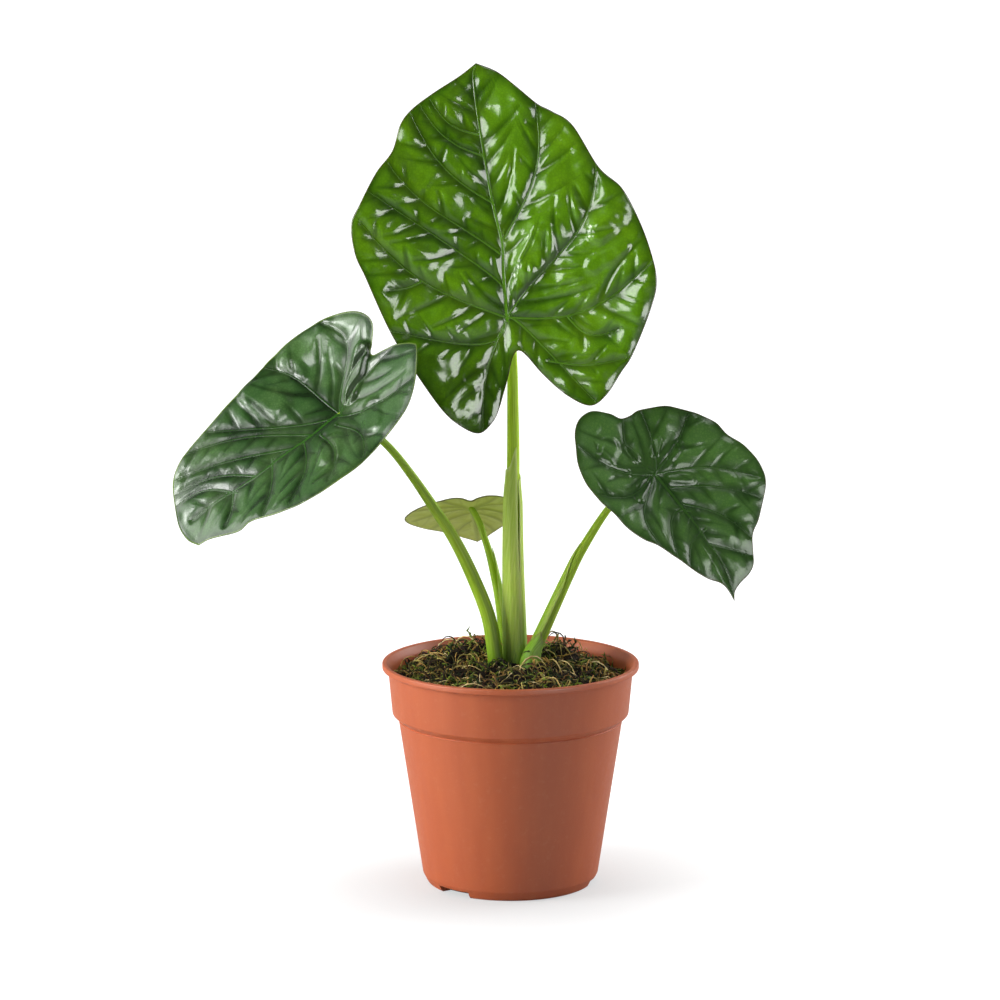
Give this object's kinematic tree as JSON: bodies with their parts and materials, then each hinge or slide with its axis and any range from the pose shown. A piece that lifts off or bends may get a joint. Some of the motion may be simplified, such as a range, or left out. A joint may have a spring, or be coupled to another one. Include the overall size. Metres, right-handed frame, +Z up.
{
  "type": "potted alocasia",
  "caption": "Young potted alocasia: glossy arrow-shaped leaves on upright stalks, growing from a mossy top in a tapered plastic nursery pot.",
  "frame": {"origin": "centre of the pot's base, on the surface that it stands on", "axes": "+Z up, -Y towards the side that the tall leaf faces, +X to the right seen from that side"},
  "size_m": [0.2742, 0.1241, 0.3823],
  "materials": {
    "pot_plastic": "injection-moulded polypropylene, satin terracotta colour",
    "potting_soil": "moist peat and bark potting mix",
    "corm_skin": "papery brown corm skin",
    "dried_moss": "loose olive and brown moss with straw-coloured fibres",
    "stalk_green": "fresh, smooth yellow-green stalk with a soft wax sheen",
    "sheath_pale": "pale green stalk sheath, faintly ribbed along its length",
    "leaf_bright": "bright mid-green leaf, glossy and puffed between its veins",
    "leaf_dark": "dark blue-green leaf with a broad silvery sheen",
    "leaf_underside": "pale, matt underside of a young leaf"
  },
  "bodies": {
    "root": {"nursery_pot": "pot_plastic", "root_ball": "potting_soil", "corm": "corm_skin", "moss_mat": "dried_moss", "stalk_tall": "stalk_green", "stalk_left": "stalk_green", "stalk_right": "stalk_green", "stalk_rear": "stalk_green", "sheath_tall": "sheath_pale", "sheath_scrap": "sheath_pale", "blade_tall": "leaf_bright", "blade_left": "leaf_dark", "blade_right": "leaf_dark", "blade_rear": "leaf_underside"}
  },
  "joints": []
}
